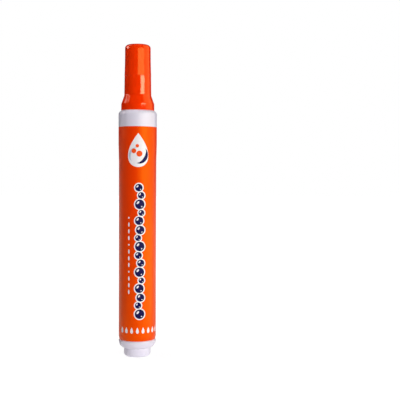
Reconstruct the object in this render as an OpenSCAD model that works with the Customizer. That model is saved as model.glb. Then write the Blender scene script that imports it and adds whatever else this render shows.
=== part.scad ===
// Stain remover pen: a press-to-flow pocket pen that stands on its tail with the cap on.
// Z is the pen's axis, and Z = 0 is the flat face of the tail. All sizes are millimetres.

/* [Barrel] */
// Length from the tail's face to the plane that the cap lands on
barrel_l = 109; // [100:0.5:125]
// Diameter of the barrel below the collar
barrel_d = 16.54; // [15.8:0.02:18.4]
// Wall of the barrel under the label
barrel_wall = 1.05; // [0.8:0.05:1.2]
// Height that the collar stands out from the barrel
collar_step = 0.21; // [0.05:0.01:0.5]
// Length of the collar at its full diameter
collar_l = 14.8; // [10:0.1:20]
// Length of the taper from the collar down to the barrel
collar_blend = 8; // [4:0.5:16]
// Radius of the collar's top edge
mouth_round = 1.8; // [0.8:0.1:1.8]
// Radius of the shoulder above the tail
shoulder_round = 3; // [2:0.1:3.2]

/* [Tail] */
// Height of the tail up to the shoulder
tail_l = 3.8; // [3:0.1:6]
// Radius of the tail's bottom edge
tail_round = 1.4; // [0.6:0.1:2]
// Wall round the hollow in the tail
tail_wall = 1.1; // [0.8:0.1:1.6]
// Thickness of the tail's floor
tail_floor = 1.3; // [1:0.1:2]

/* [Label] */
// Thickness of the label film
film = 0.1; // [0.06:0.01:0.2]
// Height of the label's lower edge above the tail's face
label_base = 7.55; // [7.4:0.05:14]
// Distance from the label's upper edge to the plane that the cap lands on
label_head = 7.3; // [4:0.1:9]
// Height over which the label's lower edge tucks in
tuck_h = 1.3; // [0.6:0.1:2.5]
// Depth that the lower edge tucks in
tuck_in = 0.35; // [0.1:0.05:0.5]

/* [Cap] */
// Length of the cap
cap_l = 29; // [27:0.5:34]
// Diameter of the cap below its top edge
cap_top_d = 11.36; // [11.1:0.02:12]
// Diameter at the line round the cap
cap_line_d = 11.84; // [11.6:0.02:12.4]
// Diameter above the flare
cap_neck_d = 11.98; // [11.8:0.02:12.6]
// Distance that the cap's rim stays inside the edge of the flange it lands on
rim_inset = 0.03; // [0.02:0.01:0.1]
// Distance that the skirt draws in from the rim up to the flare
skirt_draw = 0.05; // [0.02:0.01:0.2]
// Length of the skirt from the rim up to the flare
skirt_l = 2.9; // [2.4:0.1:3.5]
// Length of the flare
flare_l = 3.7; // [2.6:0.1:4.5]
// Length of the plain part from the flare up to the line
neck_l = 8.5; // [7:0.1:10]
// Wall of the cap's skirt
cap_wall = 1; // [0.8:0.05:1.05]
// Thickness of the cap's top
cap_top_t = 1.3; // [0.9:0.1:2]
// Radius of the cap's top edge
cap_round = 1.5; // [0.5:0.1:1.8]
// Radii that soften the foot and the head of the flare
flare_round = 2.2; // [1.2:0.1:3]
// Number of ribs inside the skirt
rib_count = 8; // [4:1:12]
// Width of a rib
rib_w = 0.8; // [0.5:0.1:1.2]
// Distance that the ribs stand in from the skirt, to grip the front section's ring or the tail
rib_h = 0.37; // [0.2:0.01:0.5]

/* [Liner in the cap] */
// Space round the liner in the cap's upper bore
liner_space = 0.3; // [0.1:0.02:0.4]
// Width of the step in the cap's bore that the liner's flange rests on
liner_step = 0.24; // [0.1:0.02:0.4]
// Wall of the liner
liner_wall = 0.65; // [0.5:0.05:0.7]
// Thickness of the liner's flange
liner_flange_t = 0.9; // [0.6:0.1:1.4]
// Height that the seal bead stands out inside the liner
seal_bead = 0.2; // [0.1:0.02:0.26]
// Thickness of the liner's closed end
liner_top_t = 0.8; // [0.5:0.1:1.2]

/* [Front section] */
// Thickness of the flange that the cap lands on
flange_t = 1.4; // [1:0.1:2]
// Distance that the flange reaches out past the barrel's bore
flange_over = 0.3; // [0.2:0.02:0.36]
// Wall of the plug in the barrel's bore
plug_wall = 1.5; // [1.2:0.1:1.6]
// Length of the grip ring above the flange
ring_l = 3.1; // [2.4:0.1:3.2]
// Wall of the grip ring
ring_wall = 1.5; // [1.3:0.1:2]
// Length of the cone between the grip ring and the nib holder
cone_l = 5.3; // [4.5:0.1:6.5]
// Length of the nib holder
holder_l = 5.8; // [4.5:0.1:7]
// Diameter of the nib holder
holder_d = 7; // [6.6:0.05:7.1]
// Number of fins that steady the nib
fin_count = 6; // [3:1:8]
// Thickness of a fin
fin_t = 0.8; // [0.5:0.1:1.1]
// Number of grooves that let fluid along the nib
groove_count = 4; // [3:1:6]
// Radius of a groove
groove_r = 0.35; // [0.2:0.05:0.45]

/* [Nib] */
// Diameter of the nib
nib_d = 5; // [4.4:0.1:5.4]
// Whole length of the nib
nib_l = 25; // [23:0.5:27]
// Length of nib that stands out of its holder
nib_out = 6.1; // [4:0.1:9]

/* [Valve] */
// Travel of the nib and the valve stem
press_travel = 1.8; // [1:0.1:2.2]
// Thickness of the valve seat
seat_t = 2; // [1.6:0.1:3]
// Diameter of the hole through the valve seat
seat_hole_d = 2.6; // [2.3:0.1:3]
// Diameter of the stem's closing head
head_d = 4.4; // [4:0.1:4.8]
// Diameter of the stem's shaft
shaft_d = 1.7; // [1.3:0.1:1.9]
// Diameter of the pusher under the nib
pusher_d = 4.4; // [3.4:0.1:5]
// Thickness of the pusher
pusher_t = 0.8; // [0.5:0.1:1.4]
// Diameter of the stem's tail pin
tail_pin_d = 1.5; // [1.1:0.1:1.7]
// Wall of the valve cage
cage_wall = 0.75; // [0.5:0.05:1]
// Thickness of the cage's rim in the plug
cage_rim_t = 1.5; // [1:0.1:2.5]
// Number of ports in the cage
port_count = 4; // [2:1:4]
// Width of a port
port_w = 2.2; // [1.2:0.1:2.6]

/* [Spring] */
// Length of the spring at rest
spring_l = 8.6; // [7.5:0.1:11]
// Diameter of the spring from wire centre to wire centre
spring_d = 3.5; // [3.3:0.05:3.9]
// Diameter of the spring wire
wire_d = 0.45; // [0.35:0.01:0.5]
// Number of turns
turns = 6; // [5:1:7]

/* [Fits] */
// Radial clearance where the cap and its liner slide over the front section
slide_gap = 0.03; // [0.02:0.01:0.06]
// Radial clearance of the nib in its holder
nib_gap = 0.05; // [0.03:0.01:0.08]
// Radial clearance of the tail pin in the cage's guide
pin_gap = 0.05; // [0.03:0.01:0.08]
// Clearance between the stem's cone and its seat
seat_gap = 0.02; // [0.01:0.01:0.05]
// Clearance between the nib and the pusher
touch_gap = 0.05; // [0.02:0.01:0.1]
// Clearance left at the end of the press
stop_gap = 0.15; // [0.1:0.05:0.3]
// Radial clearance between the plug and the barrel's bore
plug_gap = 0.1; // [0.05:0.01:0.15]
// Press of the plug's beads into the barrel's bore
bead_press = 0.02; // [0:0.01:0.04]
// Radial clearance of the flange in the barrel's mouth
flange_gap = 0.04; // [0.02:0.01:0.08]

/* [Hidden] */
$fn = 96;
e = 0.01;

// Radii that follow from the barrel's: its bore, the flange in its mouth, the cap's rim and skirt
// on the flange, and the ring and tail that the cap's ribs grip
barrel_r = barrel_d / 2;
panel_r = barrel_r - film;
bore_r = panel_r - barrel_wall;
rebate_r = bore_r + flange_over;
flange_r = rebate_r - flange_gap;
rim_r = flange_r - rim_inset;
foot_r = rim_r - skirt_draw;
rib_r = foot_r - cap_wall - rib_h;
grip_r = rib_r - slide_gap;

// Barrel
collar_r = barrel_r + collar_step;
collar_z = barrel_l - collar_l;
shoulder_x = barrel_r - shoulder_round;
shoulder_in = max(0, grip_r - shoulder_x);
shoulder_z = tail_l + sqrt(pow(shoulder_round, 2) - pow(shoulder_in, 2));
bead_z = label_base - 0.25;
bead_round = 0.25;

// Label
label_top = barrel_l - label_head;

// Front section
flange_z = barrel_l - flange_t;
plug_r = bore_r - plug_gap;
plug_bore_r = plug_r - plug_wall;
ring_z = barrel_l + ring_l;
cone_z = ring_z + cone_l;
holder_z = cone_z + holder_l;
holder_r = holder_d / 2;
nib_r = nib_d / 2;
nib_bore_r = nib_r + nib_gap;
cavity_r = grip_r - ring_wall;
chamber_r = plug_bore_r - 0.5;
chamber_z = flange_z - 0.8;
plug_bead = 0.3;

// Nib
nib_tip_z = holder_z + nib_out;
nib_foot_z = nib_tip_z - nib_l;
fin_foot_z = nib_foot_z + 1.6;

// Valve, from the nib down
pusher_top = nib_foot_z - touch_gap;
pusher_base = pusher_top - pusher_t;
seat_top = pusher_base - press_travel - stop_gap;
seat_base = seat_top - seat_t;
seat_hole_r = seat_hole_d / 2;
seat_cone_z = seat_base + 1.1;
cage_rim_base = seat_base - cage_rim_t;
plug_base = cage_rim_base - 0.4;
head_r = head_d / 2;
shaft_r = shaft_d / 2;
stem_cone_z = seat_cone_z - seat_gap * sqrt(2);
head_top = stem_cone_z - (head_r - seat_hole_r);
head_base = head_top - 0.7;
cage_bore_r = head_r + 0.45;
cage_r = cage_bore_r + cage_wall;
cage_floor = head_base - spring_l;
cage_base = cage_floor - 1;
tail_pin_r = tail_pin_d / 2;
guide_r = tail_pin_r + pin_gap;

// Spring
coil_r = spring_d / 2;
wire_r = wire_d / 2;
boss_r = coil_r - wire_r - 0.25;

// Cap
cap_z = barrel_l;
skirt_z = cap_z + skirt_l;
neck_z = skirt_z + flare_l;
line_z = neck_z + neck_l;
cap_end = cap_z + cap_l;
cap_roof = cap_end - cap_top_t;
waist_base = line_z + 0.15;
waist_top = cap_end - cap_round - 1;
rib_base = cap_z + 0.5;
rib_lead = 0.3;

// Liner, and the bore that holds it
liner_rim = cone_z + 1;
liner_seal_r = holder_r + slide_gap;
liner_bore_r = liner_seal_r + seal_bead;
liner_r = liner_bore_r + liner_wall;
cap_bore_high = liner_r + liner_space;
cap_bore_low = cap_bore_high + liner_step;
liner_end = cap_roof - 0.15;
liner_ring_z = liner_end - 3.4;

// Material outside a rounded corner at [x, y]. up is 1 for a top corner and -1 for a bottom one.
module corner(x, y, r, up = 1) {
    difference() {
        translate([x - r, up > 0 ? y - r : y - 1])
            square(r + 1);
        translate([x - r, y - up * r])
            circle(r);
    }
}

// Points of an arc of radius r that rounds the corner b between the points a and c
function soften(a, b, c, r, n = 5) =
    let (
        u = (a - b) / norm(a - b),
        v = (c - b) / norm(c - b),
        half = acos(u * v) / 2,
        back = r / tan(half),
        hub = b + (u + v) / norm(u + v) * r / sin(half),
        from = b + u * back - hub,
        to = b + v * back - hub,
        a0 = atan2(from[1], from[0]),
        a1 = atan2(to[1], to[0]),
        turn = a1 - a0 > 180 ? a1 - a0 - 360 : a1 - a0 < -180 ? a1 - a0 + 360 : a1 - a0
    )
    [for (i = [0:n]) hub + r * [cos(a0 + turn * i / n), sin(a0 + turn * i / n)]];

// Edge of the label panel at a distance out from it, from the lower edge to the upper one
function panel(out) = [
    [panel_r - tuck_in + out, label_base],
    [panel_r + out, label_base + tuck_h],
    [panel_r + out, collar_z - collar_blend],
    [panel_r + collar_step + out, collar_z],
    [panel_r + collar_step + out, label_top],
];

module barrel_outline() {
    difference() {
        union() {
            difference() {
                polygon(concat(
                    [
                        [0, shoulder_z - shoulder_round],
                        [barrel_r, shoulder_z - shoulder_round],
                        [barrel_r, bead_z],
                        [panel_r - tuck_in, bead_z],
                    ],
                    panel(0),
                    [
                        [collar_r, label_top],
                        [collar_r, barrel_l],
                        [0, barrel_l],
                    ]
                ));
                corner(barrel_r, shoulder_z - shoulder_round, shoulder_round, -1);
                corner(barrel_r, bead_z, bead_round);
                corner(collar_r, barrel_l, mouth_round);
            }
            square([grip_r, shoulder_z]);
        }
        corner(grip_r, 0, tail_round, -1);
    }
}

module barrel_hollow() {
    inner_round = bore_r - shoulder_x;
    difference() {
        translate([0, shoulder_z - inner_round])
            square([bore_r, barrel_l]);
        corner(bore_r, shoulder_z - inner_round, inner_round, -1);
    }
    difference() {
        translate([0, tail_floor])
            square([grip_r - tail_wall, shoulder_z - tail_floor]);
        corner(grip_r - tail_wall, tail_floor, 0.6, -1);
    }
    translate([0, flange_z])
        square([rebate_r, flange_t + 1]);
}

module barrel() {
    color("white")
        rotate_extrude()
            difference() {
                barrel_outline();
                barrel_hollow();
            }
}

module label_sleeve() {
    inside = panel(0);
    outside = panel(film);
    color("orangered")
        rotate_extrude()
            polygon(concat(inside, [for (i = [len(outside) - 1:-1:0]) outside[i]]));
}

module front_outline() {
    // Plug in the bore
    difference() {
        translate([0, plug_base])
            square([plug_r, flange_z - plug_base + e]);
        corner(plug_r, plug_base, 0.5, -1);
    }
    for (z = [flange_z - 2.2, plug_base + 2.2])
        translate([bore_r + bead_press - plug_bead, z])
            circle(plug_bead);
    // Flange
    difference() {
        translate([0, flange_z])
            square([flange_r, flange_t]);
        corner(flange_r, barrel_l, 0.15);
    }
    // Grip ring
    difference() {
        translate([0, barrel_l - e])
            square([grip_r, ring_l + e]);
        corner(grip_r, ring_z, 0.4);
    }
    // Cone
    polygon([
        [0, ring_z - e],
        [grip_r - 0.4, ring_z - e],
        [holder_r + 0.35, cone_z],
        [0, cone_z],
    ]);
    // Nib holder
    difference() {
        translate([0, cone_z - e])
            square([holder_r, holder_l + e]);
        corner(holder_r, holder_z, 0.4);
    }
}

module front_hollow() {
    polygon([
        [0, plug_base - e],
        [plug_bore_r, plug_base - e],
        [plug_bore_r, seat_top],
        [chamber_r, seat_top],
        [chamber_r, chamber_z],
        [cavity_r, flange_z],
        [cavity_r, ring_z - 1],
        [nib_bore_r, cone_z - 0.7],
        [nib_bore_r, holder_z - 0.3],
        [nib_bore_r + 0.3, holder_z + e],
        [0, holder_z + e],
    ]);
}

module front_section() {
    fin_reach = chamber_r + 0.4;
    color("whitesmoke") {
        difference() {
            rotate_extrude()
                difference() {
                    front_outline();
                    front_hollow();
                }
            for (i = [0:groove_count - 1])
                rotate([0, 0, (i + 0.5) * 360 / groove_count])
                    translate([nib_bore_r, 0, cone_z - 3])
                        cylinder(h = holder_l + 4, r = groove_r);
        }
        // Fins that steady the nib, within the hollow's own outline
        intersection() {
            difference() {
                for (i = [0:fin_count - 1])
                    rotate([0, 0, i * 360 / fin_count])
                        translate([0, -fin_t / 2, fin_foot_z])
                            cube([fin_reach, fin_t, cone_z - 0.8 - fin_foot_z]);
                translate([0, 0, fin_foot_z - 1])
                    cylinder(h = holder_z - fin_foot_z, r = nib_bore_r);
            }
            rotate_extrude()
                front_outline();
        }
    }
}

module nib() {
    color("ivory")
        rotate_extrude()
            difference() {
                union() {
                    translate([0, nib_foot_z])
                        square([nib_r, nib_l - nib_r]);
                    intersection() {
                        translate([0, nib_tip_z - nib_r])
                            circle(nib_r);
                        translate([0, nib_foot_z])
                            square([nib_r, nib_l]);
                    }
                }
                corner(nib_r, nib_foot_z, 0.3, -1);
            }
}

module valve_seat() {
    color("lightgray")
        rotate_extrude()
            difference() {
                polygon([
                    [seat_hole_r, seat_top],
                    [seat_hole_r, seat_cone_z],
                    [seat_hole_r + seat_cone_z - seat_base, seat_base],
                    [plug_bore_r, seat_base],
                    [plug_bore_r, seat_top],
                ]);
                // Groove that keeps the rim springy
                translate([seat_hole_r + 0.75, seat_top - 0.6])
                    square([plug_bore_r - 0.9 - seat_hole_r - 0.75, 0.6 + e]);
            }
}

module valve_cage() {
    color("gainsboro")
        difference() {
            rotate_extrude() {
                difference() {
                    // The small step at the guide is a boss that centres the spring
                    polygon([
                        [cage_bore_r, cage_floor],
                        [cage_bore_r, seat_base],
                        [plug_bore_r, seat_base],
                        [plug_bore_r, cage_rim_base],
                        [cage_r, cage_rim_base],
                        [cage_r, cage_base],
                        [guide_r, cage_base],
                        [guide_r, cage_floor + 0.6],
                        [boss_r, cage_floor + 0.6],
                        [boss_r, cage_floor],
                    ]);
                    corner(cage_r, cage_base, 0.6, -1);
                }
            }
            // Ports that let the fluid in
            for (i = [0:port_count - 1])
                rotate([0, 0, i * 360 / port_count])
                    translate([0.5 + cage_bore_r - 1, -port_w / 2, cage_floor + 1])
                        cube([cage_wall + 1, port_w, cage_rim_base - cage_floor - 2]);
        }
}

module valve_stem() {
    color("white")
        rotate_extrude()
            difference() {
                polygon([
                    [0, cage_base - 0.5],
                    [tail_pin_r - 0.25, cage_base - 0.5],
                    [tail_pin_r, cage_base - 0.25],
                    [tail_pin_r, head_base - 1.4],
                    [boss_r, head_base - 1],
                    [boss_r, head_base],
                    [head_r, head_base],
                    [head_r, head_top],
                    [shaft_r, stem_cone_z + seat_hole_r - shaft_r],
                    [shaft_r, pusher_base],
                    [pusher_d / 2, pusher_base],
                    [pusher_d / 2, pusher_top],
                    [0, pusher_top],
                ]);
                corner(pusher_d / 2, pusher_top, 0.2);
            }
}

// Points of the spring: a straight foot, the turns, and a straight head
function spring_point(t) =
    let (a = 360 * t)
    [coil_r * cos(a), coil_r * sin(a), cage_floor + 2 * wire_r + (spring_l - 4 * wire_r) * t / turns];

function spring_path(n) = concat(
    [[coil_r, 0, cage_floor]],
    [for (i = [0:turns * n]) spring_point(i / n)],
    [[coil_r, 0, head_base]]
);

function cross_ring(p, along, sides) =
    let (
        side = [p[0], p[1], 0] / norm([p[0], p[1]]),
        lift = cross(along, side)
    )
    [for (k = [0:sides - 1]) p + wire_r * (cos(360 * k / sides) * side + sin(360 * k / sides) * lift)];

function unit(v) = v / norm(v);

module valve_spring() {
    n = 12;
    sides = 6;
    path = spring_path(n);
    last = len(path) - 1;
    rings = [
        for (i = [0:last])
            let (
                into = i > 0 ? unit(path[i] - path[i - 1]) : [0, 0, 1],
                out = i < last ? unit(path[i + 1] - path[i]) : [0, 0, 1]
            )
            cross_ring(path[i], unit(into + out), sides)
    ];
    points = [for (ring = rings) each ring];
    sidewalls = [
        for (i = [0:last - 1], k = [0:sides - 1])
            let (
                a = i * sides + k,
                b = i * sides + (k + 1) % sides,
                c = b + sides,
                d = a + sides
            )
            each [[a, b, c], [a, c, d]]
    ];
    foot = [for (k = [1:sides - 2]) [0, k + 1, k]];
    head = [for (k = [1:sides - 2]) [last * sides, last * sides + k, last * sides + k + 1]];
    gap = (spring_l - 4 * wire_r) / turns - wire_d;
    echo(least_gap_between_turns = gap);
    color("silver")
        polyhedron(points = points, faces = concat(sidewalls, foot, head), convexity = 10);
}

module inner_cap() {
    color("floralwhite")
        rotate_extrude() {
            difference() {
                union() {
                    difference() {
                        translate([0, liner_rim])
                            square([liner_r, liner_end - liner_rim]);
                        corner(liner_r, liner_end, 0.6);
                    }
                    // Flange against the step in the cap's bore
                    translate([0, line_z - liner_flange_t])
                        square([cap_bore_low, liner_flange_t]);
                    // Ring pressed into the cap's upper bore
                    translate([0, liner_ring_z])
                        square([cap_bore_high, 0.8]);
                }
                difference() {
                    translate([0, liner_rim - 1])
                        square([liner_bore_r, liner_end - liner_top_t - liner_rim + 1]);
                    corner(liner_bore_r, liner_end - liner_top_t, 0.8);
                }
                polygon([
                    [0, liner_rim - e],
                    [liner_bore_r + 0.3, liner_rim - e],
                    [liner_bore_r, liner_rim + 0.3],
                    [0, liner_rim + 0.3],
                ]);
            }
            // Seal bead
            translate([liner_seal_r + seal_bead + 0.05, liner_rim + 1.1])
                circle(seal_bead + 0.05);
        }
}

module cap_outline() {
    rim = [rim_r, cap_z];
    foot = [foot_r, skirt_z];
    head = [cap_neck_d / 2, neck_z];
    line = [cap_line_d / 2 - 0.02, line_z];
    grow = cap_line_d / 2 - cap_top_d / 2;
    waist_h = waist_top - waist_base;
    difference() {
        polygon(concat(
            [[0, cap_z], rim - [0.15, 0], rim + [0, 0.15]],
            soften(rim, foot, head, flare_round),
            soften(foot, head, line, flare_round),
            [line],
            // Hollow sweep of the waist, level at the top
            [for (i = [0:8]) [cap_line_d / 2 - grow * (1 - pow(1 - i / 8, 2)), waist_base + waist_h * i / 8]],
            [[cap_top_d / 2, cap_end], [0, cap_end]]
        ));
        corner(cap_top_d / 2, cap_end, cap_round);
    }
}

module cap_hollow() {
    rim = [rim_r - cap_wall, cap_z - e];
    foot = [foot_r - cap_wall, skirt_z];
    head = [cap_bore_low, neck_z];
    step = [cap_bore_low, line_z];
    difference() {
        polygon(concat(
            [[0, cap_z - e], rim],
            soften(rim, foot, head, max(0.2, flare_round - cap_wall)),
            soften(foot, head, step, flare_round + cap_wall),
            [step, [cap_bore_high, line_z], [cap_bore_high, cap_roof], [0, cap_roof]]
        ));
        corner(cap_bore_high, cap_roof, 0.4);
    }
}

module cap() {
    color("orangered")
        union() {
            rotate_extrude()
                difference() {
                    cap_outline();
                    cap_hollow();
                }
            // Ribs that grip the front section's ring, or the tail when the cap is posted
            for (i = [0:rib_count - 1])
                rotate([0, 0, (i + 0.5) * 360 / rib_count])
                    intersection() {
                        translate([0, -rib_w / 2, rib_base])
                            cube([foot_r - cap_wall / 2, rib_w, skirt_z - 0.2 - rib_base]);
                        difference() {
                            translate([0, 0, cap_z])
                                cylinder(h = skirt_l, r = foot_r - cap_wall / 2);
                            translate([0, 0, cap_z - 1])
                                cylinder(h = skirt_l + 2, r = rib_r);
                            // Slope that leads the ribs over the ring
                            translate([0, 0, rib_base])
                                cylinder(h = rib_lead, r1 = rib_r + rib_lead, r2 = rib_r);
                        }
                    }
        }
}

barrel();
label_sleeve();
front_section();
nib();
valve_seat();
valve_cage();
valve_stem();
valve_spring();
inner_cap();
cap();
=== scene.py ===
# Looks of the stain remover pen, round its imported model. Sizes in the dictionaries are millimetres,
# and metres for the lights, the floor and the room.
import math

import bmesh
import bpy
from mathutils import Matrix, Vector


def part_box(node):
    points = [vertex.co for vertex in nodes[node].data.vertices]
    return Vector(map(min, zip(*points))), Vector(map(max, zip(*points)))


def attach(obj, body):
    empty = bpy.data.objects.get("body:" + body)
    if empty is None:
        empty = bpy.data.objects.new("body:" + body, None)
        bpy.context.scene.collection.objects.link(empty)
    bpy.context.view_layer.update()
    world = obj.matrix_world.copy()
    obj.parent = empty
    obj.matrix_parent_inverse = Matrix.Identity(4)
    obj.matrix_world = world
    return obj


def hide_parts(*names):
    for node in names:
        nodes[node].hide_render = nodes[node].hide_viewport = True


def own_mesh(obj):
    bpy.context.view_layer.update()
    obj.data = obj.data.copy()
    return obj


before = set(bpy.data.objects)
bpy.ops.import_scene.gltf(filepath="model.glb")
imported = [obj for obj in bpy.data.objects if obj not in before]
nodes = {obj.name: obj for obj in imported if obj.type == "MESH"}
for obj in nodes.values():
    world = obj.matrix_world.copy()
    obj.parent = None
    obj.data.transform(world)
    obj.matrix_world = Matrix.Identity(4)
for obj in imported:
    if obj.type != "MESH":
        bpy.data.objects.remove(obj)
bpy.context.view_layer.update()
mm = 0.001
cornerSteps = 8  # faces round a rounded corner of an outline
sharpAngle = 35  # degrees from which an edge shades sharp


# Shapes turned round the pen's axis

def cornerTangent(vert, radius):
    # Length of edge that an arc of this radius takes up on each side of a corner
    sides = [(edge.other_vert(vert).co - vert.co).normalized() for edge in vert.link_edges]
    return radius / math.tan(sides[0].angle(sides[1]) / 2)


def turned(outline, steps, closed=False):
    # An outline is a list of (radius, height), with a third number where the corner is rounded
    bm = bmesh.new()
    verts = [bm.verts.new((point[0] * mm, 0, point[1] * mm)) for point in outline]
    for a, b in zip(verts, verts[1:]):
        bm.edges.new((a, b))
    if closed:
        bm.edges.new((verts[-1], verts[0]))
    for vert, point in zip(verts, outline):
        if len(point) == 3:
            offset = cornerTangent(vert, point[2] * mm)
            bmesh.ops.bevel(bm, geom=[vert], offset=offset, offset_type="OFFSET", segments=cornerSteps,
                            profile=0.5, affect="VERTICES", material=-1)
    bmesh.ops.spin(bm, geom=bm.verts[:] + bm.edges[:], cent=(0, 0, 0), axis=(0, 0, 1),
                   dvec=(0, 0, 0), angle=math.tau, steps=steps, use_merge=True, use_duplicate=False)
    bmesh.ops.remove_doubles(bm, verts=bm.verts[:], dist=0.00001 * mm)
    bmesh.ops.recalc_face_normals(bm, faces=bm.faces[:])
    return bm


def arc(centre, radius, fromAngle, toAngle, steps):
    # Points of an arc, in degrees from straight outwards
    turns = [math.radians(fromAngle + (toAngle - fromAngle) * i / steps) for i in range(steps + 1)]
    return [(centre[0] + radius * math.cos(t), centre[1] + radius * math.sin(t)) for t in turns]


def addObject(name, data):
    made = bpy.data.objects.new(name, data)
    bpy.context.scene.collection.objects.link(made)
    return made


def finishPiece(bm, name, material, body, standsFor=None):
    for face in bm.faces:
        face.smooth = True
    for edge in bm.edges:
        edge.smooth = edge.calc_face_angle(0) < math.radians(sharpAngle)
    mesh = bpy.data.meshes.new(name)
    bm.to_mesh(mesh)
    bm.free()
    mesh.materials.append(material)
    piece = addObject(name, mesh)
    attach(piece, body)
    if standsFor:
        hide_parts(standsFor)
    return piece


# Shader groups that several materials share

def newGroup(name, inputs, outputs):
    tree = bpy.data.node_groups.new(name, "ShaderNodeTree")
    for label, kind, value in inputs:
        socket = tree.interface.new_socket(label, in_out="INPUT", socket_type=kind)
        socket.default_value = value
    for label, kind in outputs:
        tree.interface.new_socket(label, in_out="OUTPUT", socket_type=kind)
    return tree, tree.nodes.new("NodeGroupInput"), tree.nodes.new("NodeGroupOutput")


def addNode(tree, kind, values=None, **settings):
    node = tree.nodes.new(kind)
    for key, value in settings.items():
        setattr(node, key, value)
    for key, value in (values or {}).items():
        node.inputs[key].default_value = value
    return node


def feed(tree, source, target):
    # The source is another socket or a plain value
    if isinstance(source, bpy.types.NodeSocket):
        tree.links.new(source, target)
    else:
        target.default_value = source


def doMath(tree, operation, first, second=None, clamp=False):
    node = addNode(tree, "ShaderNodeMath", operation=operation, use_clamp=clamp)
    feed(tree, first, node.inputs[0])
    if second is not None:
        feed(tree, second, node.inputs[1])
    return node.outputs[0]


def mapRange(tree, value, limits, interpolation="LINEAR"):
    node = addNode(tree, "ShaderNodeMapRange", limits, interpolation_type=interpolation)
    feed(tree, value, node.inputs["Value"])
    return node.outputs["Result"]


def mixColours(tree, mask, first, second):
    mix = addNode(tree, "ShaderNodeMix", data_type="RGBA")
    for socket, value in ((0, mask), (6, first), (7, second)):
        feed(tree, value, mix.inputs[socket])
    return mix.outputs[2]


def objectPlace(tree):
    return addNode(tree, "ShaderNodeTexCoord").outputs["Object"]


def placeAlong(tree, axis):
    split = addNode(tree, "ShaderNodeSeparateXYZ")
    feed(tree, objectPlace(tree), split.inputs[0])
    return split.outputs[axis]


def noiseOf(tree, size, detail=3, stretch=None):
    # Noise whose blobs are about this size; the size is a socket or a number in metres
    place = objectPlace(tree)
    if stretch:
        mapping = addNode(tree, "ShaderNodeMapping", {"Scale": stretch})
        feed(tree, place, mapping.inputs["Vector"])
        place = mapping.outputs["Vector"]
    noise = addNode(tree, "ShaderNodeTexNoise", {"Detail": detail})
    feed(tree, place, noise.inputs["Vector"])
    feed(tree, doMath(tree, "DIVIDE", 1, size), noise.inputs["Scale"])
    return noise.outputs["Fac"]


def makeMouldSkin():
    # Fine grain of a moulded face, with the smears that handling leaves in its gloss
    tree, given, result = newGroup("mouldSkin", [
        ("Grain size", "NodeSocketFloat", 0.0003),
        ("Smear size", "NodeSocketFloat", 0.01),
        ("Gloss", "NodeSocketFloat", 0.2),
        ("Spread", "NodeSocketFloat", 0.05),
    ], [("Roughness", "NodeSocketFloat"), ("Height", "NodeSocketFloat")])
    grainPart = 0.35
    smearPart = 1.3
    middle = (grainPart + smearPart) / 2
    grain = noiseOf(tree, given.outputs["Grain size"], detail=2)
    smear = noiseOf(tree, given.outputs["Smear size"], detail=4, stretch=(1, 1, 0.45))
    both = doMath(tree, "ADD", doMath(tree, "MULTIPLY", grain, grainPart),
                  doMath(tree, "MULTIPLY", smear, smearPart))
    swing = doMath(tree, "MULTIPLY", doMath(tree, "SUBTRACT", both, middle), given.outputs["Spread"])
    roughness = doMath(tree, "ADD", swing, given.outputs["Gloss"], clamp=True)
    feed(tree, roughness, result.inputs["Roughness"])
    feed(tree, grain, result.inputs["Height"])
    return tree


def makeTintDrift():
    # Slow change of a colour's depth over the surface
    tree, given, result = newGroup("tintDrift", [
        ("Colour", "NodeSocketColor", (1, 1, 1, 1)),
        ("Deeper", "NodeSocketColor", (0.8, 0.8, 0.8, 1)),
        ("Size", "NodeSocketFloat", 0.01),
    ], [("Colour", "NodeSocketColor")])
    drift = noiseOf(tree, given.outputs["Size"])
    spread = mapRange(tree, drift, {"From Min": 0.3, "From Max": 0.7})
    colour = mixColours(tree, spread, given.outputs["Colour"], given.outputs["Deeper"])
    feed(tree, colour, result.inputs["Colour"])
    return tree


def makeRubbedBand():
    # Mask round the pen at one level, broken up as wear is
    tree, given, result = newGroup("rubbedBand", [
        ("Level", "NodeSocketFloat", 0.1),
        ("Reach", "NodeSocketFloat", 0.001),
        ("Break size", "NodeSocketFloat", 0.002),
    ], [("Mask", "NodeSocketFloat")])
    offset = doMath(tree, "SUBTRACT", placeAlong(tree, "Z"), given.outputs["Level"])
    away = doMath(tree, "DIVIDE", doMath(tree, "ABSOLUTE", offset), given.outputs["Reach"])
    near = doMath(tree, "SUBTRACT", 1, away, clamp=True)
    noise = noiseOf(tree, given.outputs["Break size"], detail=5)
    breaks = mapRange(tree, noise, {"From Min": 0.42, "From Max": 0.7})
    feed(tree, doMath(tree, "MULTIPLY", near, breaks), result.inputs["Mask"])
    return tree


print("groups")
mouldSkin = makeMouldSkin()
tintDrift = makeTintDrift()
rubbedBand = makeRubbedBand()


# Materials

def srgb(red, green, blue):
    # A colour as a picture shows it, 0 to 255, made linear
    parts = [part / 255 for part in (red, green, blue)]
    return tuple([p / 12.92 if p <= 0.04045 else ((p + 0.055) / 1.055) ** 2.4 for p in parts] + [1])


def newMaterial(name, shaderValues):
    material = bpy.data.materials.new(name)
    material.use_nodes = True
    tree = material.node_tree
    shader = tree.nodes["Principled BSDF"]
    for key, value in shaderValues.items():
        shader.inputs[key].default_value = value
    return material, tree, shader


def placeSkin(tree, grain, smear, roughness, spread):
    return addNode(tree, "ShaderNodeGroup", {
        "Grain size": grain * mm,
        "Smear size": smear * mm,
        "Gloss": roughness,
        "Spread": spread,
    }, node_tree=mouldSkin)


def placeTint(tree, look, drift):
    node = addNode(tree, "ShaderNodeGroup", {
        "Colour": look["colour"],
        "Deeper": look["deeper"],
        "Size": drift * mm,
    }, node_tree=tintDrift)
    return node.outputs["Colour"]


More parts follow.
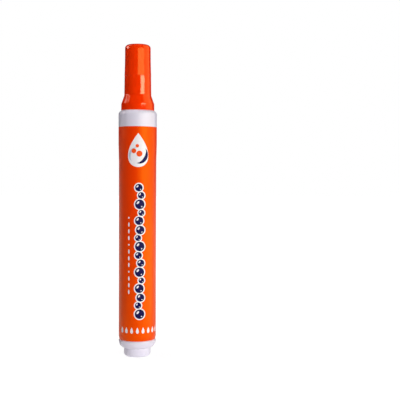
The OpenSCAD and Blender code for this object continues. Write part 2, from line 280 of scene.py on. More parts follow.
def placeBand(tree, level, reach, breakSize):
    node = addNode(tree, "ShaderNodeGroup", {
        "Level": level * mm,
        "Reach": reach * mm,
        "Break size": breakSize * mm,
    }, node_tree=rubbedBand)
    return node.outputs["Mask"]


def bumpFrom(tree, shader, height, strength, depth):
    bump = addNode(tree, "ShaderNodeBump", {"Strength": strength, "Distance": depth * mm})
    feed(tree, height, bump.inputs["Height"])
    feed(tree, bump.outputs["Normal"], shader.inputs["Normal"])


def plasticMaterial(name, look):
    # Moulded plastic: drifting tint, grain, smears, and pale rubbed bands at the levels it names
    material, tree, shader = newMaterial(name, {
        "IOR": look["ior"],
        "Specular Tint": look["glint"],
        "Subsurface Weight": look["glow"],
        "Subsurface Radius": look["glowReach"],
        "Subsurface Scale": mm,
    })
    skin = placeSkin(tree, look["grain"], look["smear"], look["roughness"], look["spread"])
    colour = placeTint(tree, look, look["drift"])
    roughness = skin.outputs["Roughness"]
    for level, reach in look["rubbed"]:
        worn = doMath(tree, "MULTIPLY", placeBand(tree, level, reach, look["breakSize"]), look["wear"])
        colour = mixColours(tree, worn, colour, look["rubbedColour"])
        duller = doMath(tree, "MULTIPLY", worn, look["rubbedDull"])
        roughness = doMath(tree, "ADD", roughness, duller, clamp=True)
    feed(tree, colour, shader.inputs["Base Color"])
    feed(tree, roughness, shader.inputs["Roughness"])
    bumpFrom(tree, shader, skin.outputs["Height"], look["bump"], depth=0.02)
    return material


capLook = {
    "colour": srgb(255, 55, 0),
    "deeper": srgb(250, 49, 0),
    "rubbedColour": srgb(255, 140, 84),
    "rubbedDull": 0.3,
    "breakSize": 1.2,
    "wear": 0.3,
    "roughness": 0.05,
    "spread": 0.05,
    "grain": 0.35,
    "smear": 7,
    "drift": 14,
    "bump": 0.05,
    "ior": 1.49,
    "glow": 0.03,
    "glowReach": (1.5, 0.3, 0.1),
    "glint": (1, 0.97, 0.55, 1),
    "rubbed": [(109.1, 0.5), (137.6, 0.9)],
}

whiteLook = {
    "colour": srgb(232, 227, 240),
    "deeper": srgb(227, 222, 236),
    "rubbedColour": srgb(206, 200, 206),
    "rubbedDull": 0.3,
    "breakSize": 1.2,
    "wear": 0.35,
    "roughness": 0.3,
    "spread": 0.12,
    "grain": 0.3,
    "smear": 6,
    "drift": 12,
    "bump": 0.2,
    "ior": 1.49,
    "glow": 0.25,
    "glowReach": (1.6, 1.5, 1.6),
    "glint": (1, 1, 1, 1),
    "rubbed": [(0.6, 0.8), (3.9, 0.5), (107.8, 0.8)],
}

frontLook = dict(
    whiteLook,
    colour=srgb(235, 234, 234),
    deeper=srgb(229, 228, 227),
    roughness=0.36,
    rubbed=[(112, 0.6), (123.1, 0.5)],
)

linerLook = dict(
    whiteLook,
    colour=srgb(232, 229, 218),
    deeper=srgb(224, 220, 207),
    roughness=0.5,
    glow=0.4,
    rubbed=[(118.5, 0.4)],
)

valveLook = dict(
    whiteLook,
    colour=srgb(222, 223, 224),
    deeper=srgb(213, 214, 216),
    roughness=0.46,
    rubbed=[(99.5, 0.3)],
)

stemLook = dict(
    whiteLook,
    colour=srgb(236, 235, 229),
    deeper=srgb(228, 226, 219),
    roughness=0.34,
    rubbed=[(104.2, 0.3)],
)


def labelMaterial(name, look):
    # Printed film: satin, painted lighter and yellower towards its foot in place of light thrown up
    # from the floor, with a fine print grain and faint ripples where it shrank at its ends
    material, tree, shader = newMaterial(name, {"IOR": 1.5, "Specular Tint": look["glint"]})
    skin = placeSkin(tree, look["grain"], look["smear"], look["roughness"], look["spread"])
    # Painted bounce light: the colour turns lighter and yellower towards the foot, in place of light
    # from the floor
    low = mapRange(tree, placeAlong(tree, "Z"), {
        "From Min": look["paintedBounceFrom"] * mm,
        "From Max": look["paintedBounceTo"] * mm,
    })
    colour = mixColours(tree, low, placeTint(tree, look, look["drift"]), look["paintedBounce"])
    height = skin.outputs["Height"]
    for level, reach in look["edges"]:
        worn = doMath(tree, "MULTIPLY", placeBand(tree, level, reach, look["breakSize"]), look["wear"])
        colour = mixColours(tree, worn, colour, look["edgeColour"])
        ripples = placeBand(tree, level, look["rippleReach"], look["rippleSize"])
        height = doMath(tree, "ADD", height, doMath(tree, "MULTIPLY", ripples, look["ripple"]))
    feed(tree, colour, shader.inputs["Base Color"])
    feed(tree, skin.outputs["Roughness"], shader.inputs["Roughness"])
    bumpFrom(tree, shader, height, look["bump"], depth=0.02)
    return material


labelLook = {
    "colour": srgb(245, 54, 0),
    "deeper": srgb(241, 49, 0),
    # Painted bounce light: the lighter, yellower orange that the film takes towards its foot
    "paintedBounce": srgb(245, 65, 0),
    "paintedBounceFrom": 62,
    "paintedBounceTo": 12,
    "edgeColour": srgb(255, 186, 140),
    "breakSize": 0.8,
    "wear": 0.35,
    "roughness": 0.36,
    "spread": 0.08,
    "grain": 0.12,
    "smear": 9,
    "drift": 25,
    "bump": 0.15,
    "glint": (0.85, 1, 0.05, 1),
    "edges": [(7.6, 0.25), (101.7, 0.25)],
    "rippleReach": 9,
    "rippleSize": 2.5,
    "ripple": 1.5,
}

seamLook = dict(
    labelLook,
    colour=srgb(232, 44, 0),
    deeper=srgb(226, 40, 0),
    # The seam's painted bounce light towards its foot
    paintedBounce=srgb(232, 54, 0),
)


def inkMaterial(name, look):
    # Ink in the film: the film's satin, with a slightly uneven lay
    material, tree, shader = newMaterial(name, {"IOR": 1.5, "Specular IOR Level": look["gloss"]})
    skin = placeSkin(tree, grain=0.1, smear=4, roughness=look["roughness"], spread=0.08)
    feed(tree, placeTint(tree, look, drift=0.6), shader.inputs["Base Color"])
    feed(tree, skin.outputs["Roughness"], shader.inputs["Roughness"])
    bumpFrom(tree, shader, skin.outputs["Height"], strength=0.15, depth=0.01)
    return material


whiteInk = {
    "colour": srgb(246, 242, 244),
    "deeper": srgb(240, 235, 238),
    "roughness": 0.36,
    "gloss": 0.4,
}

inkLooks = {
    "white": whiteInk,
    "navy": dict(
        whiteInk,
        colour=srgb(14, 10, 82),
        deeper=srgb(9, 6, 70),
        roughness=0.4,
        gloss=0.12,
    ),
    "pale": dict(whiteInk, colour=srgb(196, 208, 222), deeper=srgb(186, 199, 215)),
    "orange": dict(whiteInk, colour=srgb(248, 84, 10), deeper=srgb(242, 76, 6), gloss=0.3),
}


def feltMaterial(name, look):
    # Pressed fibres that run along the nib, with loose ones across them
    material, tree, shader = newMaterial(name, {
        "IOR": 1.45,
        "Sheen Weight": look["sheen"],
        "Sheen Roughness": 0.5,
    })
    loose = look["loose"]
    looseFibre = look["fibre"] * look["looseSize"]
    along = noiseOf(tree, look["fibre"] * mm, detail=4, stretch=(1, 1, look["run"]))
    across = noiseOf(tree, looseFibre * mm, detail=5, stretch=(0.5, 1, 1))
    lay = doMath(tree, "ADD", doMath(tree, "MULTIPLY", along, 1 - loose),
                 doMath(tree, "MULTIPLY", across, loose))
    shade = mapRange(tree, lay, {"From Min": 0.35, "From Max": 0.62})
    colour = mixColours(tree, shade, look["deeper"], look["colour"])
    skin = placeSkin(tree, look["fibre"], smear=2, roughness=0.88, spread=0.12)
    feed(tree, colour, shader.inputs["Base Color"])
    feed(tree, skin.outputs["Roughness"], shader.inputs["Roughness"])
    bumpFrom(tree, shader, lay, look["bump"], depth=0.06)
    return material


feltLook = {
    "colour": srgb(240, 237, 229),
    "deeper": srgb(198, 192, 180),
    "fibre": 0.09,
    "run": 0.12,
    "loose": 0.3,
    "looseSize": 1.6,
    "bump": 0.8,
    "sheen": 0.25,
}


def steelMaterial(name, look):
    # Drawn wire, with the lines of the die
    material, tree, shader = newMaterial(name, {"Metallic": 1})
    lines = noiseOf(tree, look["line"] * mm, stretch=(1, 1, 0.2))
    rough = mapRange(tree, lines, {"To Min": 0.18, "To Max": 0.36})
    feed(tree, placeTint(tree, look, look["drift"]), shader.inputs["Base Color"])
    feed(tree, rough, shader.inputs["Roughness"])
    bumpFrom(tree, shader, lines, strength=0.2, depth=0.01)
    return material


steelLook = {
    "colour": srgb(212, 213, 216),
    "deeper": srgb(190, 191, 196),
    "line": 0.08,
    "drift": 1.5,
}

print("materials")
capPlastic = plasticMaterial("capPlastic", capLook)
whitePlastic = plasticMaterial("whitePlastic", whiteLook)
frontPlastic = plasticMaterial("frontPlastic", frontLook)
linerPlastic = plasticMaterial("linerPlastic", linerLook)
valvePlastic = plasticMaterial("valvePlastic", valveLook)
stemPlastic = plasticMaterial("stemPlastic", stemLook)
labelFilm = labelMaterial("labelFilm", labelLook)
seamFilm = labelMaterial("seamFilm", seamLook)
inks = {key: inkMaterial(key + "Ink", look) for key, look in inkLooks.items()}
nibFelt = feltMaterial("nibFelt", feltLook)
springSteel = steelMaterial("springSteel", steelLook)


# Heights and radii that the frame gives, in millimetres
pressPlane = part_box("cap")[0].z / mm
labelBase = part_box("label_sleeve")[0].z / mm
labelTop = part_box("label_sleeve")[1].z / mm
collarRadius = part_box("barrel")[1].x / mm
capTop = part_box("cap")[1].z / mm
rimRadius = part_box("cap")[1].x / mm


# Label, which the barrel's land and the print follow

labelSizes = {
    "film": 0.1,
    "tuckHeight": 1.3,
    "tuckDepth": 0.35,
    "collarStep": 0.21,
    "blendFrom": 86.2,
    "blendTo": 94.2,
    "edgeRound": 0.03,
    "tuckRound": 4,
    "blendRound": 25,
    "steps": 192,
}
filmRadius = collarRadius - labelSizes["collarStep"]


def labelEdge(out):
    # Corners of the label's face, or of the land under it where out is minus the film
    return [
        (filmRadius - labelSizes["tuckDepth"] + out, labelBase),
        (filmRadius + out, labelBase + labelSizes["tuckHeight"]),
        (filmRadius + out, labelSizes["blendFrom"]),
        (collarRadius + out, labelSizes["blendTo"]),
        (collarRadius + out, labelTop),
    ]


def labelRadius(height):
    corners = labelEdge(0)
    for (r0, z0), (r1, z1) in zip(corners, corners[1:]):
        if height <= z1:
            return r0 + (r1 - r0) * max(0, height - z0) / (z1 - z0)
    return corners[-1][0]


def makeLabel():
    size = labelSizes
    land = labelEdge(-size["film"])
    rounds = ["edgeRound", "tuckRound", "blendRound", "blendRound", "edgeRound"]
    face = [(*corner, size[key]) for corner, key in zip(labelEdge(0), rounds)]
    bm = turned(face + land[::-1], size["steps"], closed=True)
    finishPiece(bm, "label_film", labelFilm, "pen", "label_sleeve")


# Barrel

barrelSizes = {
    "gripRadius": 5.9,
    "tailRound": 1.4,
    "tailLength": 3.8,
    "shoulderRound": 3,
    "shoulderSteps": 20,
    "beadRound": 0.22,
    "beadGap": 0.25,
    "landRound": 0.05,
    "collarRound": 0.06,
    "mouthRound": 1.8,
    "mouthSteps": 16,
    "wall": 1.05,
    "rebate": 0.3,
    "rebateDepth": 1.4,
    "rebateRound": 0.1,
    "tailWall": 1.1,
    "tailBoreRound": 0.2,
    "tailFloor": 1.3,
    "tailFloorRound": 0.6,
    "gateRadius": 1.6,
    "gateFlare": 0.15,
    "gateDepth": 0.25,
    "gateRound": 0.1,
    "steps": 192,
}


def makeBarrel():
    size = barrelSizes
    grip = size["gripRadius"]
    hub = filmRadius - size["shoulderRound"]
    shoulder = size["tailLength"] + math.sqrt(size["shoulderRound"] ** 2 - (grip - hub) ** 2)
    start = -math.degrees(math.acos((grip - hub) / size["shoulderRound"]))
    bore = filmRadius - labelSizes["film"] - size["wall"]
    innerRound = bore - hub
    tailBore = grip - size["tailWall"]
    bead = labelBase - size["beadGap"]
    land = labelEdge(-labelSizes["film"])
    rebateFoot = pressPlane - size["rebateDepth"]
    mouthHub = (collarRadius - size["mouthRound"], pressPlane - size["mouthRound"])
    mouthEnd = math.degrees(math.acos((bore + size["rebate"] - mouthHub[0]) / size["mouthRound"]))
    outline = [
        (0, size["gateDepth"]),
        (size["gateRadius"], size["gateDepth"], size["gateRound"]),
        (size["gateRadius"] + size["gateFlare"], 0, size["gateRound"]),
        (grip, 0, size["tailRound"]),
        *arc((hub, shoulder), size["shoulderRound"], start, 0, size["shoulderSteps"]),
        (filmRadius, bead, size["beadRound"]),
        (land[0][0], bead, size["landRound"]),
        *land,
        (collarRadius, labelTop, size["collarRound"]),
        *arc(mouthHub, size["mouthRound"], 0, mouthEnd, size["mouthSteps"]),
        (bore + size["rebate"], rebateFoot),
        (bore, rebateFoot, size["rebateRound"]),
        (bore, shoulder - innerRound, innerRound * 0.98),  # just short of the whole corner
        (tailBore, shoulder - innerRound, size["tailBoreRound"]),
        (tailBore, size["tailFloor"], size["tailFloorRound"]),
        (0, size["tailFloor"]),
    ]
    bm = turned(outline, size["steps"])
    finishPiece(bm, "barrel_shell", whitePlastic, "pen", "barrel")


# Cap

capSizes = {
    "rimChamfer": 0.15,
    "rimRound": 0.1,
    "skirtLength": 2.9,
    "skirtDraw": 0.02,
    "skirtRound": 0.3,
    "flareLength": 3.7,
    "flareRound": 2.2,
    "neckRadius": 5.99,
    "neckLength": 8.5,
    "lineRadius": 5.92,
    "lineStep": 0.05,
    "lineHeight": 0.15,
    "lineRound": 0.03,
    "topRadius": 5.68,
    "topRound": 1.5,
    "topStraight": 1,
    "waistSteps": 12,
    "wall": 1,
    "boreRound": 0.1,
    "roof": 1.3,
    "roofRound": 0.4,
    "ribCount": 8,
    "ribWidth": 0.8,
    "ribGap": 0.03,
    "ribFrom": 0.5,
    "ribShort": 0.7,  # what the ribs lack of the skirt's length
    "ribBevel": 0.12,
    "steps": 192,
}


def makeCap():
    size = capSizes
    skirtTop = pressPlane + size["skirtLength"]
    neckFoot = skirtTop + size["flareLength"]
    line = neckFoot + size["neckLength"]
    waistFoot = line + size["lineHeight"]
    waistTop = capTop - size["topRound"] - size["topStraight"]
    footRadius = rimRadius - size["skirtDraw"]
    draw = size["lineRadius"] - size["topRadius"]
    lowBore = size["lineRadius"] - size["wall"]
    highBore = size["topRadius"] - size["wall"]
    roof = capTop - size["roof"]
    waist = []
    for i in range(1, size["waistSteps"] + 1):
        share = i / size["waistSteps"]
        radius = size["lineRadius"] - draw * (1 - (1 - share) ** 2)
        waist.append((radius, waistFoot + (waistTop - waistFoot) * share))
    outline = [
        (0, capTop),
        (size["topRadius"], capTop, size["topRound"]),
        *waist[::-1],
        (size["lineRadius"], waistFoot, size["lineRound"]),
        (size["lineRadius"] - size["lineStep"], line, size["lineRound"]),
        (size["neckRadius"], neckFoot, size["flareRound"]),
        (footRadius, skirtTop, size["skirtRound"]),
        (rimRadius, pressPlane + size["rimChamfer"]),
        (rimRadius - size["rimChamfer"], pressPlane),
        (rimRadius - size["wall"], pressPlane, size["rimRound"]),
        (footRadius - size["wall"], skirtTop, size["skirtRound"]),
        (lowBore, neckFoot, size["flareRound"] + size["wall"]),
        (lowBore, line, size["boreRound"]),
        (highBore, line, size["boreRound"]),
        (highBore, roof, size["roofRound"]),
        (0, roof),
    ]
    bm = turned(outline, size["steps"])
    addGripRibs(bm, size, footRadius - size["wall"] / 2)
    finishPiece(bm, "cap_shell", capPlastic, "cap_unit", "cap")


def addGripRibs(bm, size, outer):
    # Ribs inside the skirt that grip the front section's ring
    inner = barrelSizes["gripRadius"] + size["ribGap"]
    height = size["skirtLength"] - size["ribShort"]
    middle = Vector(((inner + outer) / 2, 0, pressPlane + size["ribFrom"] + height / 2)) * mm
    scale = Matrix.Diagonal(((outer - inner) * mm, size["ribWidth"] * mm, height * mm, 1))
    for i in range(size["ribCount"]):
        turn = Matrix.Rotation(math.tau * (i + 0.5) / size["ribCount"], 4, "Z")
        made = bmesh.ops.create_cube(bm, size=1, matrix=turn @ Matrix.Translation(middle) @ scale)
        edges = {edge for vert in made["verts"] for edge in vert.link_edges}
        bmesh.ops.bevel(bm, geom=list(edges), offset=size["ribBevel"] * mm, offset_type="OFFSET",
                        segments=2, profile=0.5, affect="EDGES", material=-1)


# Print on the label: bubbles and drops, drawn flat as (across, height) and rolled on

printSizes = {
    "ink": 0.012,  # rise of one coat
    "lap": 0.004,  # rise of every other bubble's edge, because neighbours overlap
    "thickness": 0.04,
    "stripWidth": 0.4,
    "dropTaper": 1.1,
    "emblemAt": (0.25, 91.4),
    "emblemSize": (12.2, 14.8),
    "bubbleAcross": 1.0,
    "bubblesFrom": 17.6,
    "bubblesTo": 78.6,
    "bubbleSize": (2.5, 4.2),
    "bubbleGap": 0.35,
    "bubbleShift": 0.45,  # how far small bubbles stand aside, as a share of what they lack
    "bubbleWave": 2.4,  # radians of the wave in their sizes, from one bubble to the next
    "keyline": 0.5,
    "stitchAcross": -3.9,
    "stitchFrom": 29.4,
    "stitchTo": 64.8,
    "stitchStep": 2.95,
    "stitchSize": (0.75, 1.9),
    "knotHeight": 0.85,
    "knotEvery": 4,
    "rowHeight": 12.5,
    "rowFrom": -7.6,
    "rowTo": 10.2,
    "rowCount": 8,
    "rowSize": (1.75, 2.7),
}

# Each layer's ink, and how many coats up it lies
inkLayers = {
    "print_ground": ("white", 1),
    "print_navy": ("navy", 2),
    "print_pale": ("pale", 2),
    "print_marks": ("white", 3),
    "print_orange": ("orange", 3),
}

# Places from the emblem's middle; the crescents' sizes are shares of the emblem's, and each spot
# is (side, up, size)
emblemShade = {"side": 0.9, "up": -2.3, "wide": 0.56, "tall": 0.5, "fold": 0.55, "lean": -32}
emblemGlint = {"side": -1.5, "up": -2, "wide": 0.44, "tall": 0.42, "fold": 0.62, "lean": 160}
emblemSpots = [(-0.4, 1.8, 1.5), (-1.9, -0.4, 2.1), (0.5, -1.6, 2.6)]

# Glints on a bubble, all as shares of its size
bubbleGlints = [
    {"side": -0.19, "up": 0.17, "wide": 0.2, "tall": 0.36, "lean": -38, "segments": 20},
    {"side": 0.2, "up": -0.24, "wide": 0.13, "tall": 0.13, "lean": 0, "segments": 16},
]


def inkSpot(bm, across, height, wide, tall, taper=0.0, fold=None, lean=0.0, segments=48, rise=0.0):
    # A disc; taper draws it out to a drop, fold turns it into a crescent and rise lifts it
    made = bmesh.ops.create_circle(bm, cap_ends=True, segments=segments, radius=1)
    turn = math.radians(lean)
    for vert in made["verts"]:
        side, up = vert.co.x, vert.co.y
        if taper:
            half = math.acos(max(-1, min(1, up))) / 2
            side *= math.sin(half) ** taper
        if fold is not None and side < 0:
            side *= -fold
        x = side * wide / 2
        z = up * tall / 2
        vert.co = (
            (across + x * math.cos(turn) - z * math.sin(turn)) * mm,
            -rise * mm,
            (height + x * math.sin(turn) + z * math.cos(turn)) * mm,
        )


def cutFlat(bm, place, facing):
    bmesh.ops.bisect_plane(bm, geom=bm.verts[:] + bm.edges[:] + bm.faces[:], dist=0.0001 * mm,
                           plane_co=place, plane_no=facing)


def rollOn(bm, lift, thickness):
    # Cuts flat shapes into strips, bends them round the label and gives them their thickness
    step = printSizes["stripWidth"] * mm
    sides = [vert.co.x for vert in bm.verts]
    for i in range(math.floor(min(sides) / step), math.ceil(max(sides) / step)):
        cutFlat(bm, (i * step, 0, 0), (1, 0, 0))
    for corner in labelEdge(0)[1:4]:
        cutFlat(bm, (0, 0, corner[1] * mm), (0, 0, 1))
    for vert in bm.verts:
        height = vert.co.z / mm
        turn = vert.co.x / mm / filmRadius
        radius = (labelRadius(height) + lift) * mm - vert.co.y
        vert.co = (radius * math.sin(turn), -radius * math.cos(turn), vert.co.z)
    bmesh.ops.recalc_face_normals(bm, faces=bm.faces[:])
    for face in bm.faces:
        middle = face.calc_center_median()
        if face.normal.x * middle.x + face.normal.y * middle.y < 0:
            face.normal_flip()
    bmesh.ops.solidify(bm, geom=bm.faces[:], thickness=thickness * mm)
    bmesh.ops.recalc_face_normals(bm, faces=bm.faces[:])


def bubbleList():
    # Places and sizes of the bubbles, from the foot upwards
    small, large = printSizes["bubbleSize"]
    bubbles = []
    height = printSizes["bubblesFrom"]
    while True:
        count = len(bubbles)
        wave = math.cos(count * printSizes["bubbleWave"])
        size = (small + large) / 2 + (large - small) / 2 * wave
        if height + size > printSizes["bubblesTo"]:
            return bubbles
        shift = (large - size) * printSizes["bubbleShift"] * (-1) ** count
        bubbles.append((printSizes["bubbleAcross"] + shift, height + size / 2, size))
        height += size + printSizes["bubbleGap"]


def drawEmblem(ground, navy, pale, orange):
    # A drop with its shade, a glint and three spots
    across, height = printSizes["emblemAt"]
    wide, tall = printSizes["emblemSize"]
    inkSpot(ground, across, height, wide, tall, taper=printSizes["dropTaper"], segments=64)
    for bm, form in ((navy, emblemShade), (pale, emblemGlint)):
        inkSpot(bm, across + form["side"], height + form["up"], wide * form["wide"],
                tall * form["tall"], fold=form["fold"], lean=form["lean"], segments=40)
    for side, up, size in emblemSpots:
        inkSpot(orange, across + side, height + up, size, size, segments=24)


def drawBubbles(ground, navy, marks):
    for count, (across, height, size) in enumerate(bubbleList()):
        whole = size + 2 * printSizes["keyline"]
        inkSpot(ground, across, height, whole, whole, rise=printSizes["lap"] * (count % 2))
        inkSpot(navy, across, height, size, size)
        for form in bubbleGlints:
            inkSpot(marks, across + size * form["side"], height + size * form["up"],
                    size * form["wide"], size * form["tall"], lean=form["lean"],
                    segments=form["segments"])


def drawStitches(ground):
    # Stitches beside the bubbles, with a short knot in place of every fourth
    wide, tall = printSizes["stitchSize"]
    last = int((printSizes["stitchTo"] - printSizes["stitchFrom"]) / printSizes["stitchStep"])
    for i in range(last + 1):
        height = printSizes["stitchFrom"] + i * printSizes["stitchStep"]
        knot = (i + 1) % printSizes["knotEvery"] == 0
        inkSpot(ground, printSizes["stitchAcross"], height, wide,
                printSizes["knotHeight"] if knot else tall, segments=20)


def drawRow(ground):
    # Small drops round the foot
    reach = printSizes["rowTo"] - printSizes["rowFrom"]
    for i in range(printSizes["rowCount"]):
        side = printSizes["rowFrom"] + reach * (i / (printSizes["rowCount"] - 1))
        inkSpot(ground, side, printSizes["rowHeight"], *printSizes["rowSize"],
                taper=printSizes["dropTaper"])


def makePrint():
    sheets = [bmesh.new() for _ in inkLayers]
    ground, navy, pale, marks, orange = sheets
    drawEmblem(ground, navy, pale, orange)
    drawBubbles(ground, navy, marks)
    drawStitches(ground)
    drawRow(ground)
    for bm, (name, (ink, coats)) in zip(sheets, inkLayers.items()):
        rollOn(bm, printSizes["ink"] * coats, printSizes["thickness"])
        finishPiece(bm, name, inks[ink], "pen")


# Lap of the wrapped film, down the back of the barrel

seamSizes = {
    "width": 1.8,
    "rise": 0.05,
}


def makeSeam():
    bm = bmesh.new()
    back = math.pi * filmRadius * mm
    place = Matrix.Translation((back, 0, (labelBase + labelTop) / 2 * mm))
    upright = Matrix.Rotation(math.radians(90), 4, "X")
    scale = Matrix.Diagonal((seamSizes["width"] * mm, (labelTop - labelBase) * mm, 1, 1))
    bmesh.ops.create_grid(bm, x_segments=1, y_segments=1, size=0.5, matrix=place @ upright @ scale)
    rollOn(bm, seamSizes["rise"], seamSizes["rise"] * 2)
    finishPiece(bm, "label_seam", seamFilm, "pen")


# Spring

springSizes = {
    "radius": 1.75,
    "wire": 0.225,
    "turns": 6,
    "sides": 12,
    "stepsPerTurn": 40,
}


def makeSpring():
    size = springSizes
    low, high = (corner.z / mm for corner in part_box("valve_spring"))
    inset = size["wire"] * 2  # from the solid's ends to the middle of the wire's ends
    bm = bmesh.new()
    place = Matrix.Translation((size["radius"] * mm, 0, (low + inset) * mm))
    upright = Matrix.Rotation(math.radians(90), 4, "X")
    bmesh.ops.create_circle(bm, cap_ends=True, segments=size["sides"], radius=size["wire"] * mm,
                            matrix=place @ upright)
    steps = size["turns"] * size["stepsPerTurn"]
    rise = (high - low - 2 * inset) * mm / steps
    bmesh.ops.spin(bm, geom=bm.faces[:], cent=(0, 0, 0), axis=(0, 0, 1), dvec=(0, 0, rise),
                   angle=math.tau * size["turns"], steps=steps, use_merge=False, use_duplicate=False)
    bmesh.ops.recalc_face_normals(bm, faces=bm.faces[:])
    spring = finishPiece(bm, "valve_coil", springSteel, "pen", "valve_spring")
    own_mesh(spring)


# Camera, lights, floor and room

photoView = {
    "lens": 74.63,
    "sensor": 36,
    "distance": 370,
    "height": 80,
    "aimRight": 27.87,
    "aimHeight": 69.46,
    "roll": 0.245,
}


def makeCamera():
    data = bpy.data.cameras.new("photoCamera")
    data.lens = photoView["lens"]
    data.sensor_width = photoView["sensor"]
    camera = addObject("photoCamera", data)
    place = Vector((0, -photoView["distance"], photoView["height"])) * mm
    aim = Vector((photoView["aimRight"], 0, photoView["aimHeight"])) * mm
    facing = (aim - place).to_track_quat("-Z", "Y").to_matrix().to_4x4()
    roll = Matrix.Rotation(math.radians(photoView["roll"]), 4, "Z")
    camera.matrix_world = Matrix.Translation(place) @ facing @ roll
    bpy.context.scene.camera = camera


# Azimuth is from the camera's side of the pen towards its right, and elevation from a level on the
# pen's axis, in degrees; sizes are metres. Lamps light the pen; panels are only seen in its gloss.
# A light that names no distance or level of its own has these.
lightDistance = 0.35
lightLevel = 0.119
gold = (1, 0.86, 0.3)
rose = (1, 0.75, 0.85)

lamps = {
    "keyLamp": {"azimuth": 36, "elevation": 8, "distance": 0.8, "size": (0.6, 0.5), "glow": 6},
    "fillLamp": {
        "azimuth": -95, "elevation": 50, "distance": 0.25, "size": (0.16, 0.16), "glow": 3.6,
    },
    "backLamp": {"azimuth": 172, "elevation": 12, "distance": 0.8, "size": (0.3, 0.5), "glow": 6},
}

panels = {
    "barStrip": {"azimuth": 41, "elevation": 8, "size": (0.2, 0.026), "glow": 10},
    "bandPanel": {
        "azimuth": 28.5, "elevation": 12.6, "size": (0.36, 0.026), "glow": 3.4, "colour": gold,
    },
    "lowPanel": {
        "azimuth": 42, "elevation": -9, "distance": 0.45, "size": (0.75, 0.18), "glow": 2.7,
        "colour": gold,
    },
    "sidePanel": {
        "azimuth": 88, "elevation": 17, "distance": 0.5, "size": (0.6, 0.6), "glow": 1.55,
        "colour": (1, 0.82, 0.3),
    },
    "footPanel": {
        "azimuth": 68, "elevation": 0, "level": 0.03, "distance": 0.08, "size": (0.1, 0.06),
        "glow": 2, "colour": gold,
    },
    "leftStrip": {
        "azimuth": -83, "elevation": 30, "distance": 0.5, "size": (0.03, 0.26), "glow": 9,
        "colour": rose,
    },
    "rearStrip": {
        "azimuth": -110, "elevation": 28, "distance": 0.5, "size": (0.07, 0.26), "glow": 8,
        "colour": rose,
    },
    "linkStrip": {
        "azimuth": -97, "elevation": 14, "distance": 0.5, "size": (0.2, 0.03), "glow": 8,
        "colour": rose,
    },
}


def makeLight(name, light, inGloss):
    wide, tall = light["size"]
    data = bpy.data.lights.new(name, "AREA")
    data.shape = "RECTANGLE"
    data.size = wide
    data.size_y = tall
    data.energy = light["glow"] * math.pi * wide * tall
    data.color = light.get("colour", (1, 1, 1))
    lamp = addObject(name, data)
    azimuth = math.radians(light["azimuth"])
    elevation = math.radians(light["elevation"])
    away = Vector((
        math.sin(azimuth) * math.cos(elevation),
        -math.cos(azimuth) * math.cos(elevation),
        math.sin(elevation),
    ))
    middle = Vector((0, 0, light.get("level", lightLevel)))
    place = Matrix.Translation(middle + away * light.get("distance", lightDistance))
    lamp.matrix_world = place @ away.to_track_quat("Z", "Y").to_matrix().to_4x4()
    lamp.visible_camera = False
    lamp.visible_glossy = inGloss
    lamp.visible_diffuse = not inGloss


stageSizes = {
    "floorRadius": 3,
    "floorLevel": -0.00005,  # just under the tail's face
    "floorSteps": 96,
    "floorGlow": 1.1,
    "floorPaper": (0.8, 0.8, 0.8, 1),
    "floorDepth": (0, 0.3),  # near and far end of the change in what gloss sees of the floor
    "floorFront": 0.25,
    "shadowReach": 0.05,
    "shadowShare": 0.18,
    "bounceReach": 0.07,
    "bounce": 0.5,
    "ambient": 0.12,
    "roomColour": (0.97, 0.94, 1, 1),
    "roomDepth": (0.93, 1),  # the same for the room, along its unit direction
    "roomFront": 0,
    "glossDark": 0.8,
}


def paleShare(tree, depth, front):
    # One for rays that see the pale background: from the camera, from gloss and through glass.
    # In gloss and glass it rises from the value front to one between a near and a far depth.
    path = addNode(tree, "ShaderNodeLightPath")
    behind = mapRange(tree, placeAlong(tree, "Y"), {
        "From Min": depth[0],
        "From Max": depth[1],
        "To Min": front,
        "To Max": 1,
    }, "SMOOTHSTEP")
    glossy = path.outputs["Is Glossy Ray"]
    bent = doMath(tree, "ADD", glossy, path.outputs["Is Transmission Ray"], clamp=True)
    seen = doMath(tree, "MULTIPLY", bent, behind)
    return doMath(tree, "MAXIMUM", seen, path.outputs["Is Camera Ray"])


def mixShaders(tree, mask, first, second, output):
    mix = addNode(tree, "ShaderNodeMixShader")
    for socket, source in enumerate((mask, first.outputs[0], second.outputs[0])):
        feed(tree, source, mix.inputs[socket])
    feed(tree, mix.outputs[0], output.inputs["Surface"])


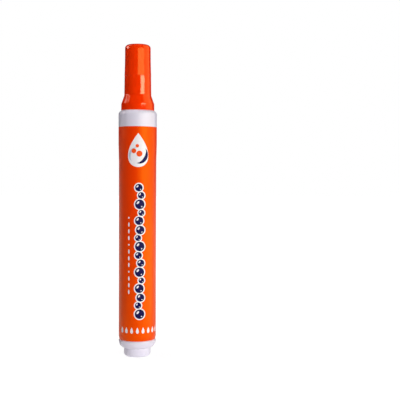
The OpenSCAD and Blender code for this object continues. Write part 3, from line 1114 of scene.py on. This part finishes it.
def makeFloor():
    size = stageSizes
    bm = bmesh.new()
    bmesh.ops.create_circle(bm, cap_ends=True, segments=size["floorSteps"], radius=size["floorRadius"],
                            matrix=Matrix.Translation((0, 0, size["floorLevel"])))
    mesh = bpy.data.meshes.new("floor")
    bm.to_mesh(mesh)
    bm.free()
    floor = addObject("floor", mesh)
    material = bpy.data.materials.new("floorPaper")
    material.use_nodes = True
    tree = material.node_tree
    tree.nodes.clear()
    output = addNode(tree, "ShaderNodeOutputMaterial")
    paper = addNode(tree, "ShaderNodeBsdfDiffuse", {"Color": size["floorPaper"]})
    white = addNode(tree, "ShaderNodeEmission", {"Strength": size["floorGlow"]})
    length = addNode(tree, "ShaderNodeVectorMath", operation="LENGTH")
    feed(tree, objectPlace(tree), length.inputs[0])
    away = length.outputs["Value"]
    # The pale share sinks round the foot, where the paper under it takes the shadow
    fade = mapRange(tree, away, {
        "From Max": size["shadowReach"],
        "To Min": 1 - size["shadowShare"],
    }, "SMOOTHSTEP")
    pale = paleShare(tree, size["floorDepth"], size["floorFront"])
    seen = doMath(tree, "MULTIPLY", pale, fade)
    # Light that the paper throws back on the foot
    near = mapRange(tree, away, {
        "From Max": size["bounceReach"],
        "To Min": size["bounce"],
        "To Max": 0,
    }, "SMOOTHSTEP")
    path = addNode(tree, "ShaderNodeLightPath")
    thrown = doMath(tree, "MULTIPLY", path.outputs["Is Diffuse Ray"], near)
    mixShaders(tree, doMath(tree, "ADD", seen, thrown), paper, white, output)
    mesh.materials.append(material)


def makeWorld():
    size = stageSizes
    world = bpy.data.worlds.new("studio")
    bpy.context.scene.world = world
    world.use_nodes = True
    tree = world.node_tree
    tree.nodes.clear()
    output = addNode(tree, "ShaderNodeOutputWorld")
    room = addNode(tree, "ShaderNodeBackground", {"Color": size["roomColour"]})
    pale = addNode(tree, "ShaderNodeBackground", {"Color": (1, 1, 1, 1)})
    # Gloss sees the room darker than matt faces are lit by it
    path = addNode(tree, "ShaderNodeLightPath")
    dark = doMath(tree, "MULTIPLY", path.outputs["Is Glossy Ray"], size["glossDark"])
    lit = doMath(tree, "MULTIPLY", doMath(tree, "SUBTRACT", 1, dark), size["ambient"])
    feed(tree, lit, room.inputs["Strength"])
    mixShaders(tree, paleShare(tree, size["roomDepth"], size["roomFront"]), room, pale, output)


print("stage")
bpy.context.scene.view_settings.view_transform = "Standard"
makeCamera()
for name, light in lamps.items():
    makeLight(name, light, False)
for name, light in panels.items():
    makeLight(name, light, True)
makeFloor()
makeWorld()

print("pieces")
makeBarrel()
makeLabel()
makePrint()
makeSeam()
makeCap()
makeSpring()

print("carried pieces")
carriedMaterials = {
    "front_section": frontPlastic,
    "nib": nibFelt,
    "valve_seat": valvePlastic,
    "valve_cage": valvePlastic,
    "valve_stem": stemPlastic,
    "inner_cap": linerPlastic,
}
for nodeName, nodeMaterial in carriedMaterials.items():
    for materialSlot in nodes[nodeName].material_slots:
        materialSlot.material = nodeMaterial
